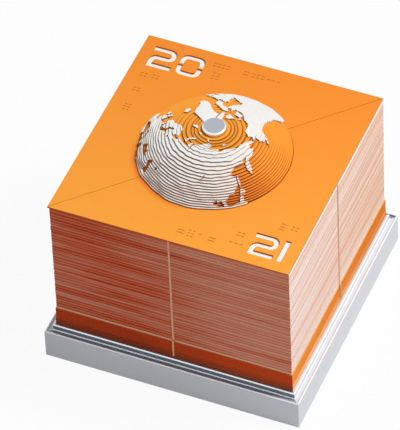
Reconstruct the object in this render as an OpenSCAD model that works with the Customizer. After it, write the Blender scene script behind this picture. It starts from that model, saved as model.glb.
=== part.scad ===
// Tear-off desk calendar with a paper globe standing inside its block of leaves.
// Millimetres, +Z up, origin under the middle of the base.
// The reader's side is -Y. The leaves are cut along the diagonal from the near left corner
// to the far right corner, so each half is drawn out sideways round the globe.

/* [Base] */
// Height of the tray from its underside to its rim
tray_h = 12.9; // [11.5:0.1:18]
// Width of the rim's top
rim_w = 0.65; // [0.6:0.05:1]
// Width of the groove between the rim and the deck's foot
groove_w = 1.48; // [1.2:0.02:1.8]
// Depth of the groove below the rim
groove_depth = 0.6; // [0.5:0.05:1]
// How far the foot stands out round the deck
deck_foot_w = 0.34; // [0.3:0.02:0.5]
// Height of the foot
deck_foot_h = 0.5; // [0.4:0.05:0.7]
// Height of the deck above the rim
deck_rise = 2.1; // [1:0.1:4]
// Ledge of the deck round the orange boards
deck_ledge = 0.98; // [0.6:0.02:1.4]
// Wall of the moulded base parts
base_wall = 2.0; // [1.6:0.1:2.2]
// Chamfer of the top edges of tray and deck
edge_chamfer = 0.35; // [0.1:0.05:0.6]
// Thickness of the bottom cover
bottom_t = 1.8; // [1.4:0.1:2.4]
// Gap round the bottom cover
bottom_gap = 0.15; // [0.1:0.05:0.4]

/* [Feet and screws] */
// Diameter of a rubber foot
foot_d = 9; // [6:0.5:12]
// Thickness of a rubber foot
foot_t = 1.3; // [1:0.1:1.8]
// How far a foot stands out below the bottom cover
foot_proud = 0.5; // [0.3:0.1:0.8]
// Distance from the tray's side to the middle of a foot
foot_inset = 11; // [9.5:0.5:16]
// Shank of a cover screw
screw_d = 2.4; // [2:0.1:3]
// Head of a cover screw
screw_head_d = 4.6; // [4:0.1:5.4]
// Length of a cover screw below its head
screw_l = 6; // [4:0.5:6]
// Outer diameter of a screw post in the tray
post_d = 6.4; // [5.6:0.2:8]
// Distance from the tray's side to the middle of a screw
screw_inset = 22; // [20:0.5:30]
// Clearance between a fastener and its hole
fastener_gap = 0.08; // [0.05:0.01:0.2]

/* [Spindle] */
// Diameter of the spindle
spindle_d = 4; // [3:0.1:5]
// Thickness of the nut below the tray's shelf
nut_t = 3.2; // [2.5:0.1:3.5]
// Width across the nut's flats
nut_af = 7; // [6.5:0.1:8.5]
// Diameter of the boss inside the deck that the spindle passes through
boss_d = 21; // [14:0.5:30]
// Length of the spindle below the nut
spindle_end = 0.8; // [0.3:0.1:1]
// Diameter of the cap on the pole
cap_d = 8.9; // [7:0.1:11]
// Thickness of the cap
cap_t = 1.5; // [1.2:0.1:2.5]
// Bevel round the cap's top
cap_bevel = 0.55; // [0.2:0.05:0.7]
// How far the spindle enters the cap
cap_seat = 0.8; // [0.4:0.1:0.9]

/* [Boards] */
// Thickness of the lower orange board
lower_board_t = 3.2; // [2:0.1:5]
// Thickness of the upper orange board
upper_board_t = 5.4; // [3:0.1:8]
// How far the upper board stands out past the leaves on each side
board_proud = 0.3; // [0:0.05:0.8]
// How far the lower board stands out past the upper one
lower_board_proud = 0.15; // [0:0.05:0.3]
// Thickness of the white backing card
card_t = 0.9; // [0.5:0.1:1.5]

/* [Leaves] */
// Side of the square block of leaves
pad_side = 94; // [88:0.5:100]
// Thickness of one month's leaves
month_t = 4.4; // [4:0.05:5]
// Air between one month's leaves and the next
leaf_gap = 0.06; // [0.03:0.01:0.12]
// Thickness of the cover card
cover_t = 0.6; // [0.4:0.05:0.9]
// Width of the diagonal cut
slit_w = 0.3; // [0.2:0.05:0.6]
// Clearance between the leaves and the globe
kerf = 0.25; // [0.2:0.05:0.5]
// Steps of the hole through one month's leaves
hole_steps = 5; // [3:1:8]

/* [Globe] */
// Radius of the globe at its equator
globe_r = 35; // [33:0.1:37]
// Distance from the equator to the pole
globe_v = 29.45; // [28:0.05:30.5]
// Height of the pole above the cover
dome_rise = 12.4; // [10:0.1:15]
// Place of the globe's middle, from the middle of the block along X
globe_x = -0.7; // [-2:0.1:2]
// Place of the globe's middle, from the middle of the block along Y
globe_y = -0.3; // [-2:0.1:2]
// Thickness of one sheet of the globe
sheet_t = 0.21; // [0.2:0.01:0.25]
// Widest tread of a step near the pole
tread_max = 2; // [1.6:0.1:2.2]
// Most sheets in one step of the dome
dome_sheets = 3; // [2:1:4]
// Sheets in one step of the hidden part of the globe
hidden_sheets = 4; // [4:1:6]
// How far the land stands out above the sea
relief = 0.6; // [0.4:0.05:0.8]
// Height of the tallest mountains above the rest of the land
mountain_h = 0.4; // [0:0.05:0.6]
// How far low hills bend the land's contour lines in and out
hill_h = 0.07; // [0:0.01:0.3]
// Clearance between the cover and the globe
cover_gap = 0.2; // [0.1:0.05:0.4]
// How far the land stands out above the sea where the cover meets it
collar_relief = 0.3; // [0.2:0.05:0.6]
// Paper between the spindle's bore and the nearest land
bore_wall = 0.5; // [0.4:0.1:1]
// Overlap of a land sheet under the step above it
lap = 1; // [0.6:0.1:1.4]
// Film of glue under each step of the globe
glue_t = 0.02; // [0.01:0.01:0.05]
// Radius of the foot that the globe stands on
plinth_r = 10; // [8:0.5:14]
// Radius of the plinth at the backing card
plinth_base_r = 21; // [16:0.5:24]
// Steps of the plinth
plinth_steps = 6; // [3:1:9]

/* [Hidden] */
$fn = 96;
eps = 0.01;
quarter = 90;

MONTHS = ["january", "february", "march", "april", "may", "june",
          "july", "august", "september", "october", "november", "december"];
SIDES = ["front", "back"];
DOME_BANDS = 6;
ZONES = ["north", "equator", "south"];

ORANGE = "#f79a3a";
SEA = "#f08a2c";
WHITE_PAPER = "#f5f1ea";
SILVER = "#b9bcc2";
STEEL = "#a9adb5";
RUBBER = "#26272a";
LEAF_EDGE = "#e9bfa2";

// Plan sizes, from the leaves outwards
board_side = pad_side + 2 * board_proud;
lower_board_side = board_side + 2 * lower_board_proud;
deck_side = lower_board_side + 2 * deck_ledge;
deck_foot_side = deck_side + 2 * deck_foot_w;
tray_inside = deck_foot_side + 2 * groove_w;
tray_side = tray_inside + 2 * rim_w;

// Heights, from the ground up
tray_z = foot_proud;
rim_z = tray_z + tray_h;
shelf_z = rim_z - groove_depth;
deck_z = rim_z + deck_rise;
upper_board_z = deck_z + lower_board_t;
card_z = upper_board_z + upper_board_t;
leaves_z = card_z + card_t;
month_pitch = month_t + leaf_gap;
cover_z = leaves_z + len(MONTHS) * month_pitch;
pad_top = cover_z + cover_t;
pole_z = pad_top + dome_rise;
equator_z = pole_z - globe_v;
cap_z = pole_z;
hidden_step = hidden_sheets * sheet_t;
bore_d = spindle_d + 2 * fastener_gap;

// Where the globe has the plinth's radius in the south
globe_foot_z = equator_z - globe_v * sqrt(1 - pow(plinth_r / globe_r, 2));

// The meridian that points along +X
east_of_x = 187.7;

// Coastlines as longitude east and latitude north, in whole or half degrees
EURASIA = [[26, 71], [31, 70], [41, 67], [33, 66.5], [35, 64.5], [40, 64.5], [44, 66], [44, 68.5],
    [54, 68.5], [60, 69], [67, 69], [67, 72.5], [70, 73], [72.5, 73], [72, 71], [73, 67], [75, 68.5],
    [75, 72.5], [80, 73.5], [82, 71.5], [81, 73.5], [87, 75], [98, 76.5], [104, 77.5], [113, 76], [107, 73],
    [113, 73.5], [123, 73], [127, 73.5], [130, 71], [140, 72.5], [150, 71.5], [160, 69.5], [170, 70],
    [180, 69], [190, 66], [187, 64.5], [181, 66], [177, 64.5], [179.5, 62.5], [170, 60], [164, 60],
    [162, 58.5], [161.5, 56], [159.5, 53], [157, 51], [155.5, 55], [156.5, 58], [163.5, 62], [157, 61.5],
    [155, 59.5], [143, 59.5], [136, 55], [141, 53], [140.5, 48.5], [135, 43.5], [131, 43], [129.5, 41],
    [127.5, 39.5], [129.5, 36], [126.5, 34.5], [126.5, 37.5], [124.5, 40], [121.5, 39], [121, 41],
    [118, 39], [119, 37.5], [122.5, 37], [119.5, 35], [122, 31.5], [121.5, 28], [117, 23.5], [110, 21],
    [108, 21.5], [106, 19], [109, 13], [105, 9], [100.5, 13.5], [100, 8], [103.5, 1.5], [100.5, 5.5],
    [98.5, 10], [97.5, 16.5], [94.5, 16], [92, 22], [87, 21.5], [80.5, 15.5], [80, 12], [77.5, 8], [73, 17],
    [72.5, 21], [70, 21], [67, 24.5], [61.5, 25], [57, 27], [54.5, 26.5], [50, 30], [48.5, 29.5],
    [51.5, 25], [56.5, 26], [60, 22.5], [52, 16], [45, 13], [43, 13], [39, 21], [35, 28], [34.5, 31.5],
    [36, 36.5], [31, 36.5], [27.5, 37], [26.5, 39.5], [26, 41], [24, 40.5], [22.5, 36.5], [20, 39.5],
    [19.5, 42], [14, 45.5], [12.5, 44.5], [16, 42], [18.5, 40], [17, 39], [16, 38], [12.5, 42], [9, 44.5],
    [6.5, 43], [3, 42], [0, 40], [-0.5, 37.5], [-5.5, 36], [-9, 37], [-9.5, 39], [-9, 43], [-1.5, 43.5],
    [-1, 46], [-4.5, 48.5], [-1.5, 49.5], [1.5, 51], [4.5, 52.5], [8.5, 54], [8, 57], [10.5, 57.5],
    [10.5, 54.5], [14, 54], [19, 54.5], [21, 57], [23.5, 59], [30, 60], [23, 60], [21.5, 61], [21.5, 63],
    [25, 65], [22, 65.5], [17.5, 62], [17, 60.5], [19, 60], [16.5, 57], [14, 55.5], [12.5, 55.5], [11, 59],
    [8, 58], [5.5, 59.5], [5, 62], [11, 64.5], [14, 67.5], [19, 70]];
NORTH_AMERICA = [[-168, 65.5], [-162, 66.5], [-166, 68.5], [-156.5, 71.5], [-141, 69.5], [-135, 69],
    [-128, 70.5], [-115, 68.5], [-108, 68], [-96, 68.5], [-94, 72], [-90, 69], [-82, 69.5], [-86, 66.5],
    [-90, 63.5], [-94, 61], [-94, 58.5], [-88, 56.5], [-82.5, 55], [-82, 53], [-79, 51.5], [-79, 54.5],
    [-77, 57], [-78, 62.5], [-70, 61], [-69.5, 59], [-64.5, 60.5], [-57, 53.5], [-60, 50], [-66.5, 50],
    [-70, 47], [-64.5, 49], [-65, 47], [-60.5, 46], [-66, 43.5], [-67, 45], [-70.5, 43], [-70, 41.5],
    [-74, 40.5], [-76, 37], [-75.5, 35], [-81, 31.5], [-80, 26], [-82, 26], [-83, 29], [-89.5, 30],
    [-94, 29.5], [-97.5, 27], [-97, 22], [-94.5, 18], [-90.5, 21], [-87, 21.5], [-88.5, 16], [-83.5, 15],
    [-83.5, 10.5], [-79.5, 9.5], [-77.5, 9], [-80, 7.5], [-85.5, 10], [-92, 14.5], [-96, 16], [-105.5, 20],
    [-109.5, 25.5], [-114, 31.5], [-109.5, 23], [-112, 25], [-117, 32.5], [-120.5, 34.5], [-124, 40],
    [-124, 46.5], [-124.5, 48.5], [-128, 51], [-130.5, 55], [-135, 58.5], [-139.5, 59.5], [-146, 61],
    [-151.5, 59.5], [-158, 56.5], [-164.5, 54.5], [-158, 58.5], [-162, 58.5], [-165, 61.5], [-161, 64.5],
    [-166, 64.5]];
GREENLAND = [[-45, 60], [-42, 62], [-40, 65], [-32, 68], [-22, 70.5], [-20, 74], [-18, 77], [-12, 81.5],
    [-32, 83.5], [-60, 82], [-67, 80], [-73, 78], [-60, 76], [-55, 71.5], [-53.5, 67], [-50, 62.5]];
BAFFIN = [[-80, 73.5], [-72, 71.5], [-67, 69], [-61.5, 66.5], [-65, 62], [-72, 64.5], [-73, 68],
    [-85, 70.5], [-88, 73.5]];
ELLESMERE = [[-65, 82.5], [-78, 83], [-92, 81.5], [-88, 77], [-84, 75], [-79, 76.5], [-76, 78.5]];
VICTORIA = [[-117, 69.5], [-102, 69.5], [-105, 73], [-118, 72]];
BANKS = [[-125, 72], [-119, 72.5], [-122, 74.5]];
MELVILLE = [[-117, 75.5], [-97, 75], [-96, 79], [-106, 79]];
ICELAND = [[-24, 65.5], [-22, 64], [-18.5, 63.5], [-13.5, 65], [-16, 66.5], [-22, 66.5]];
BRITAIN = [[-5.5, 50], [0.5, 50.5], [1.5, 53], [-2, 55.5], [-2, 57.5], [-4, 58.5], [-6, 57], [-3.5, 54.5],
    [-5, 52]];
IRELAND = [[-10, 52], [-6.5, 52], [-6, 54.5], [-8, 55.5], [-10, 54]];
SVALBARD = [[12, 79.5], [16, 76.5], [22, 78.5], [27, 80], [18, 80.5]];
NOVAYA_ZEMLYA = [[52, 71], [57.5, 70.5], [57, 73], [68.5, 76.5], [65, 77], [55, 74.5]];
SEVERNAYA_ZEMLYA = [[96, 79.5], [104, 78.5], [98, 81]];
FRANZ_JOSEF = [[48, 80.5], [62, 80.5], [58, 82]];
NEW_SIBERIA = [[138, 75], [150, 74.5], [143, 76]];
NEWFOUNDLAND = [[-59.5, 47.5], [-53, 46.5], [-53.5, 48.5], [-55.5, 51.5]];
HONSHU = [[129, 33.5], [143.5, 33.5], [144, 36], [141.5, 37.5], [142.5, 40], [141, 41.5], [139.5, 40],
    [138.5, 37], [133, 35.8], [129, 35.4]];
HOKKAIDO = [[140, 42], [143.5, 42], [145.5, 43.5], [142, 45.5]];
KYUSHU = [[119, 33], [131.5, 33], [131.5, 35.6], [119, 35.6]];
SAKHALIN = [[142, 46], [143.5, 49], [143, 54.5], [141.5, 51]];
AFRICA = [[-6, 36], [-2, 35], [10, 37.5], [11, 34], [15.5, 32], [20, 31], [21, 33], [25, 31.5], [32, 31.5],
    [33, 28.5], [37.5, 20], [39.5, 15.5], [43, 11.5], [51, 12], [48, 4.5], [41, -2], [39, -7], [40.5, -15],
    [35, -20], [35.5, -24], [32.5, -26], [31, -30], [25.5, -34], [20, -35], [18.5, -33], [15, -26.5],
    [12, -18], [13.5, -11], [12, -5], [9, -1], [9.5, 4], [4.5, 6.5], [-2, 5], [-7.5, 4.5], [-13, 8.5],
    [-17.5, 14.5], [-16, 21], [-9.5, 30]];
SOUTH_AMERICA = [[-77, 8.5], [-72, 12], [-62, 10.5], [-57, 6], [-51, 4], [-50, 0], [-44, -2.5], [-35, -6],
    [-39, -13], [-40.5, -20.5], [-48, -26], [-53.5, -34], [-58.5, -34.5], [-57, -38], [-65, -41],
    [-66, -46], [-69, -52], [-75, -50], [-73.5, -40], [-71.5, -30], [-70, -18.5], [-76.5, -14], [-81, -5],
    [-80, 0.5], [-77.5, 4.5]];
AUSTRALIA = [[114, -22], [122, -18], [130, -12.5], [136, -12], [136, -15], [140, -17.5], [142.5, -11],
    [146, -19], [153, -25.5], [151, -33.5], [146.5, -39], [140, -37.5], [135.5, -34.5], [131, -31.5],
    [124, -33], [115, -34.5]];
NEW_GUINEA = [[131, -1], [134.5, -4], [138, -8], [143, -9], [150, -10.5], [148, -6], [144, -4], [138, -1.5]];
BORNEO = [[109, 1], [110, -3], [116, -4], [119, 1], [117, 7], [113, 3]];
SUMATRA = [[95.5, 5.5], [100, -1], [104, -6], [106, -3], [103, 1], [98, 4.5]];
MADAGASCAR = [[44, -25], [47, -25], [50.5, -15.5], [49.5, -12], [44.5, -17]];
LUZON = [[120, 16], [122, 14], [124, 13], [122, 18.5], [120.5, 18.5]];
CUBA = [[-84.5, 22], [-80, 23], [-74.5, 20.5], [-77.5, 20]];
NEW_ZEALAND = [[167, -46], [171, -46], [178.5, -38], [173, -34.5], [174, -39.5]];
ANTARCTICA_LAT = -68;

NORTHERN_LAND = [EURASIA, NORTH_AMERICA, GREENLAND, BAFFIN, ELLESMERE, VICTORIA, BANKS, MELVILLE, ICELAND,
    BRITAIN, IRELAND, SVALBARD, NOVAYA_ZEMLYA, SEVERNAYA_ZEMLYA, FRANZ_JOSEF, NEW_SIBERIA, NEWFOUNDLAND,
    HONSHU, HOKKAIDO, KYUSHU, SAKHALIN, AFRICA];
SOUTHERN_LAND = [EURASIA, NORTH_AMERICA, AFRICA, SOUTH_AMERICA, AUSTRALIA, NEW_GUINEA, BORNEO, SUMATRA,
    MADAGASCAR, LUZON, CUBA, NEW_ZEALAND, HONSHU, KYUSHU];

BLACK_SEA = [[28, 42], [28, 44], [30.5, 46.5], [33, 46], [33.5, 44.5], [36.5, 45], [39, 47], [38, 44.5],
    [41.5, 41.5], [36, 41.5], [31.5, 41.5]];
CASPIAN = [[47.5, 45], [51, 47], [53, 45], [51, 44.5], [53, 42], [54, 37], [49, 37.5], [50, 40.5],
    [47.5, 43]];
ARAL = [[58.5, 44], [59, 46.5], [61.5, 46.5], [60.5, 44.5]];
BAIKAL = [[103.5, 51.5], [106.5, 52], [110, 55.5], [109, 56], [105.5, 52.5]];
LADOGA = [[31, 60], [33, 60], [32, 61.5], [30, 61.5]];
INLAND_SEAS = [BLACK_SEA, CASPIAN, ARAL, BAIKAL, LADOGA];

// Mountains as longitude, latitude, reach in degrees and share of the full height
MOUNTAINS = [[85, 34, 7, 1], [100, 35, 5, 0.9], [90, 48, 4, 0.8], [99, 50, 3, 0.6], [78, 42, 4, 0.9],
    [108, 45, 3, 0.5], [115, 57, 4, 0.5], [120, 50, 3, 0.6], [128, 60, 3, 0.4], [142, 66, 4, 0.7],
    [155, 64, 3, 0.5], [60, 60, 3, 0.5], [60, 53, 2, 0.4], [44, 42, 3, 0.8], [53, 35, 3, 0.7], [36, 38, 3, 0.6],
    [10, 47, 3, 0.8], [8, 62, 4, 0.6], [-4, 41, 3, 0.5], [-42, 73, 7, 1], [-150, 63, 4, 0.8],
    [-125, 56, 4, 0.7], [-114, 49, 4, 0.9], [-107, 40, 4, 0.9], [-120, 38, 2, 0.7], [-72, 70, 3, 0.5]];

// Radius of the globe at a height, for a surface that stands out by grow
function surface_r(z, grow) =
    let (u = (z - equator_z) / (globe_v + grow))
    abs(u) >= 1 ? 0 : (globe_r + grow) * sqrt(1 - u * u);

// Widest radius of that surface between two heights
function widest_r(z0, z1, grow) =
    z0 <= equator_z && z1 >= equator_z ? globe_r + grow : max(surface_r(z0, grow), surface_r(z1, grow));

function latitude(z) = asin((z - equator_z) / globe_v);

// Most sheets, up to a limit, that keep a step's tread narrow enough
function sheets_at(z, n) =
    n <= 1 ? 1 : surface_r(z - n * sheet_t, 0) - surface_r(z, 0) <= tread_max ? n : sheets_at(z, n - 1);

// Edges of the dome's steps from the pole down to the top of the cover
function dome_edges_from(z) =
    z <= pad_top + eps ? [pad_top]
    : concat([z], dome_edges_from(max(pad_top, z - sheets_at(z, dome_sheets) * sheet_t)));

// The lowest step is an upright collar that fills the cover's hole and ends just below the cover
collar_z = cover_z - leaf_gap;
collar_r = surface_r(pad_top, 0);
dome_edges = concat(dome_edges_from(pole_z), [collar_z]);
dome_steps = len(dome_edges) - 1;
hidden_top = collar_z;
hidden_count = ceil((hidden_top - globe_foot_z) / hidden_step);
hidden_t = (hidden_top - globe_foot_z) / hidden_count;

// How far the land rises above its mean level, by the nearness of each mountain
function nearness(lon, lat, m) =
    let (dx = ((lon - m[0] + 540) % 360 - 180) * cos(lat), dy = lat - m[1])
    exp(-(dx * dx + dy * dy) / (m[2] * m[2]));
function mountain(lon, lat) = mountain_h * max([for (m = MOUNTAINS) m[3] * nearness(lon, lat, m)]);
function hills(lon, lat) = hill_h * (sin(29 * lon + 37 * lat) + sin(18 * lon - 53 * lat)) / 2;

// A place on the map as seen from above the north pole
function plan_r(lat) = (globe_r + relief) * (lat >= 0 ? cos(lat) : 2 - cos(lat));
function plan(p) = plan_r(p[1]) * [cos(p[0] - east_of_x), sin(p[0] - east_of_x)];
function nearest_r(outline) = min([for (p = outline) plan_r(p[1])]);
function furthest_r(outline) = max([for (p = outline) plan_r(p[1])]);

function sorted(v) =
    len(v) <= 1 ? v
    : let (p = v[floor(len(v) / 2)])
      concat(sorted([for (x = v) if (x < p) x]), [for (x = v) if (x == p) x],
             sorted([for (x = v) if (x > p) x]));

// Longitudes at which an outline crosses a parallel
function crossings(outline, lat) = sorted([
    for (i = [0:len(outline) - 1])
        let (a = outline[i], b = outline[(i + 1) % len(outline)])
        if ((a[1] > lat) != (b[1] > lat)) a[0] + (b[0] - a[0]) * (lat - a[1]) / (b[1] - a[1])]);

// Stretches of land along a parallel, as pairs of longitudes
function land_spans(lat, outlines) =
    lat <= ANTARCTICA_LAT ? [[0, 360]]
    : [for (o = outlines) let (c = crossings(o, lat)) for (i = [0:2:len(c) - 2]) [c[i], c[i + 1]]];

// Square block with chamfered top edges
module chamfered_block(side, z0, z1, chamfer) {
    half = side / 2;
    profile = [[-half, z0], [half, z0], [half, z1 - chamfer], [half - chamfer, z1],
               [chamfer - half, z1], [-half, z1 - chamfer]];
    intersection() {
        rotate([90, 0, 0]) linear_extrude(side + 1, center = true) polygon(profile);
        rotate([90, 0, 90]) linear_extrude(side + 1, center = true) polygon(profile);
    }
}

module slab(side, z0, t) {
    translate([-side / 2, -side / 2, z0]) cube([side, side, t]);
}

module at_globe() {
    translate([globe_x, globe_y, 0]) children();
}

module spindle_bore() {
    at_globe() translate([0, 0, -eps]) cylinder(d = bore_d, h = pole_z + cap_t + 1);
}

module at_corners(inset) {
    for (turn = [0:quarter:3 * quarter])
        rotate([0, 0, turn]) translate([tray_side / 2 - inset, tray_side / 2 - inset, 0]) children();
}

// Base
module tray() {
    color(SILVER) difference() {
        union() {
            difference() {
                chamfered_block(tray_side, tray_z, rim_z, edge_chamfer);
                slab(tray_inside, shelf_z, groove_depth + 1);
                slab(tray_side - 2 * base_wall, tray_z - eps, shelf_z - base_wall - tray_z + eps);
            }
            at_corners(screw_inset) translate([0, 0, tray_z + bottom_t])
                cylinder(d = post_d, h = shelf_z - base_wall / 2 - tray_z - bottom_t);
        }
        at_corners(screw_inset) translate([0, 0, tray_z])
            cylinder(d = screw_d + 2 * fastener_gap, h = bottom_t + screw_l);
        spindle_bore();
    }
}

module deck() {
    color(SILVER) difference() {
        union() {
            chamfered_block(deck_side, shelf_z, deck_z, edge_chamfer);
            chamfered_block(deck_foot_side, shelf_z, shelf_z + deck_foot_h, deck_foot_w);
        }
        difference() {
            slab(deck_side - 2 * base_wall, shelf_z - eps, deck_z - shelf_z - base_wall);
            at_globe() translate([0, 0, shelf_z]) cylinder(d = boss_d, h = deck_z - shelf_z);
        }
        spindle_bore();
    }
}

module bottom_cover() {
    color(RUBBER) difference() {
        slab(tray_side - 2 * base_wall - 2 * bottom_gap, tray_z, bottom_t);
        at_corners(foot_inset) translate([0, 0, -eps])
            cylinder(d = foot_d + 2 * fastener_gap, h = foot_t + eps);
        at_corners(screw_inset) {
            translate([0, 0, tray_z - eps]) cylinder(d = screw_d + 2 * fastener_gap, h = bottom_t + 1);
            translate([0, 0, tray_z - eps])
                cylinder(d1 = screw_head_d + 2 * fastener_gap, d2 = screw_d + 2 * fastener_gap,
                         h = (screw_head_d - screw_d) / 2);
        }
    }
}

module cover_screws() {
    color(STEEL) at_corners(screw_inset) translate([0, 0, tray_z]) {
        cylinder(d1 = screw_head_d, d2 = screw_d, h = (screw_head_d - screw_d) / 2);
        cylinder(d = screw_d, h = screw_l + bottom_t / 2);
    }
}

module rubber_feet() {
    color(RUBBER) at_corners(foot_inset) cylinder(d = foot_d, h = foot_t);
}

// Spindle
module spindle() {
    bottom = shelf_z - base_wall - nut_t - spindle_end;
    color(STEEL) at_globe() translate([0, 0, bottom])
        cylinder(d = spindle_d, h = cap_z + cap_seat - bottom);
}

module spindle_nut() {
    color(STEEL) difference() {
        at_globe() translate([0, 0, shelf_z - base_wall - nut_t])
            cylinder(d = nut_af / cos(30), h = nut_t, $fn = 6);
        spindle_bore();
    }
}

module pole_cap() {
    color(STEEL) at_globe() translate([0, 0, cap_z]) difference() {
        union() {
            cylinder(d = cap_d, h = cap_t - cap_bevel);
            translate([0, 0, cap_t - cap_bevel])
                cylinder(d1 = cap_d, d2 = cap_d - 2 * cap_bevel, h = cap_bevel);
        }
        translate([0, 0, -eps]) cylinder(d = bore_d, h = cap_seat + fastener_gap + eps);
    }
}

// Boards under the leaves
module board(side, z, t, tint) {
    color(tint) difference() {
        slab(side, z, t);
        spindle_bore();
    }
}

module lower_board() { board(lower_board_side, deck_z, lower_board_t, ORANGE); }
module upper_board() { board(board_side, upper_board_z, upper_board_t, ORANGE); }
module white_card() { board(pad_side, card_z, card_t, WHITE_PAPER); }

// Stepped foot that carries the globe on the backing card
module plinth() {
    rise = (globe_foot_z - leaves_z) / plinth_steps;
    inset = (plinth_base_r - plinth_r) / (plinth_steps - 1);
    stairs = [for (i = [0:plinth_steps - 1]) for (end = [0, 1])
        [plinth_base_r - i * inset, leaves_z + (i + end) * rise]];
    bore_r = bore_d / 2;
    color(SEA) at_globe() rotate_extrude()
        polygon(concat([[bore_r, leaves_z]], stairs, [[bore_r, globe_foot_z]]));
}

// Land seen from above, where it lies between two radii
module land_plan(r_in, r_out) {
    difference() {
        for (o = NORTHERN_LAND)
            if (nearest_r(o) < r_out && furthest_r(o) > r_in) polygon([for (p = o) plan(p)]);
        for (o = INLAND_SEAS)
            if (nearest_r(o) < r_out && furthest_r(o) > r_in) polygon([for (p = o) plan(p)]);
    }
}

// Radius of the sea on one step of the dome
function sea_r(i) = i == dome_steps - 1 ? collar_r : widest_r(dome_edges[i + 1], dome_edges[i], 0);

// Outer line of the land on one step, pushed out where mountains stand. On the collar it is round.
contour_points = 120;
function land_r(i, lon, lat) =
    i == dome_steps - 1 ? collar_r + collar_relief
    : widest_r(dome_edges[i + 1], dome_edges[i], relief + mountain(lon, lat) + hills(lon, lat));
module land_contour(i) {
    lat = latitude(dome_edges[i + 1]);
    polygon([for (k = [0:contour_points - 1]) let (turn = 360 * k / contour_points)
        land_r(i, turn + east_of_x, lat) * [cos(turn), sin(turn)]]);
}

// Radius to which the step above covers a step of the dome
function covered_r(i) =
    max(bore_d / 2 + bore_wall, i == 0 ? 0 : surface_r(dome_edges[i], 0) - lap);

module dome_land_shape(i) {
    inner = covered_r(i);
    outer = widest_r(dome_edges[i + 1], dome_edges[i], relief + mountain_h + hill_h);
    difference() {
        intersection() {
            land_plan(inner, outer);
            land_contour(i);
        }
        circle(r = inner);
    }
}

function band_of(i) = floor(i * DOME_BANDS / dome_steps) + 1;

module dome_step(i) {
    bottom = dome_edges[i + 1] + glue_t;
    at_globe() translate([0, 0, bottom]) linear_extrude(dome_edges[i] - bottom) children();
}

module dome_sea(band) {
    color(SEA) for (i = [0:dome_steps - 1]) if (band_of(i) == band) dome_step(i) difference() {
        circle(r = sea_r(i));
        dome_land_shape(i);
        circle(d = bore_d);
    }
}

module dome_land(band) {
    color(WHITE_PAPER) for (i = [0:dome_steps - 1]) if (band_of(i) == band)
        dome_step(i) dome_land_shape(i);
}

// Part of a ring between two longitudes
module ring_sector(span, r_in, r_out, z0, t) {
    at_globe() rotate([0, 0, span[0] - east_of_x])
        rotate_extrude(angle = span[1] - span[0]) translate([r_in, z0]) square([r_out - r_in, t]);
}

function hidden_z(i) = hidden_top - (i + 1) * hidden_t;
function zone_of(i) = floor(i * len(ZONES) / hidden_count);
function hidden_r(i, grow) = widest_r(hidden_z(i), hidden_z(i) + hidden_t, grow);
function hidden_inner(i) =
    min(hidden_r(i, 0), surface_r(hidden_z(i), 0), surface_r(hidden_z(i) + hidden_t, 0)) - lap;

module hidden_land_step(i) {
    for (span = land_spans(latitude(hidden_z(i) + hidden_t / 2), SOUTHERN_LAND))
        ring_sector(span, hidden_inner(i), hidden_r(i, relief), hidden_z(i) + glue_t, hidden_t - glue_t);
}

module globe_sea(zone) {
    color(SEA) for (i = [0:hidden_count - 1]) if (zone_of(i) == zone) difference() {
        at_globe() translate([0, 0, hidden_z(i) + glue_t])
            cylinder(r = hidden_r(i, 0), h = hidden_t - glue_t);
        hidden_land_step(i);
        spindle_bore();
    }
}

module globe_land(zone) {
    color(WHITE_PAPER) for (i = [0:hidden_count - 1]) if (zone_of(i) == zone) hidden_land_step(i);
}

// Half of the square block on one side of the diagonal cut
module half_square(side_name) {
    half = pad_side / 2;
    cut = slit_w / sqrt(2);
    turn = side_name == "front" ? 0 : 180;
    rotate([0, 0, turn]) polygon([[cut - half, -half], [half, -half], [half, half - cut]]);
}

// Stepped hole that one month's leaves leave round the globe
function hole_r(z0, z1) =
    max(widest_r(z0 - hidden_step, z1 + hidden_step, relief),
        z0 < globe_foot_z ? plinth_base_r : 0) + kerf;

module globe_hole(z0, t) {
    rise = t / hole_steps;
    last = hole_steps - 1;
    radii = [for (i = [0:last]) hole_r(z0 + i * rise, z0 + (i + 1) * rise)];
    stairs = [for (i = [0:last]) for (end = [0, 1])
        let (outermost = end == 0 ? i == 0 : i == last)
        if (outermost || radii[i] != radii[i + 2 * end - 1])
            [radii[i], z0 + (i + end) * rise + (outermost ? (2 * end - 1) * eps : 0)]];
    at_globe() rotate_extrude() polygon(concat([[0, z0 - eps]], stairs, [[0, z0 + t + eps]]));
}

module month_leaves(index, side_name) {
    z0 = leaves_z + (len(MONTHS) - 1 - index) * month_pitch;
    color(LEAF_EDGE) difference() {
        translate([0, 0, z0]) linear_extrude(month_t) half_square(side_name);
        globe_hole(z0, month_t);
    }
}

// Cover card, whose hole follows the coast at the rim of the dome.
// The globe narrows upwards, so both halves of the cover lift straight off.
rim_lat = latitude(cover_z);
rim_reach = 1.5;
coast_gap = 1;
sea_hole_r = collar_r + cover_gap;
land_hole_r = collar_r + collar_relief + cover_gap;
rim_spans = [for (lat = [rim_lat - rim_reach, rim_lat, rim_lat + rim_reach])
    for (span = land_spans(lat, NORTHERN_LAND)) [span[0] - coast_gap, span[1] + coast_gap]];

// Overlapping stretches joined into one, from west to east
function reach(end, spans) =
    let (later = [for (s = spans) if (s[0] <= end && s[1] > end) s[1]])
    len(later) == 0 ? end : reach(max(later), spans);
function merged(spans, after) =
    let (starts = [for (s = spans) if (s[0] > after) s[0]])
    len(starts) == 0 ? []
    : let (a = min(starts), b = reach(a, spans)) concat([[a, b]], merged(spans, b));

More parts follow.
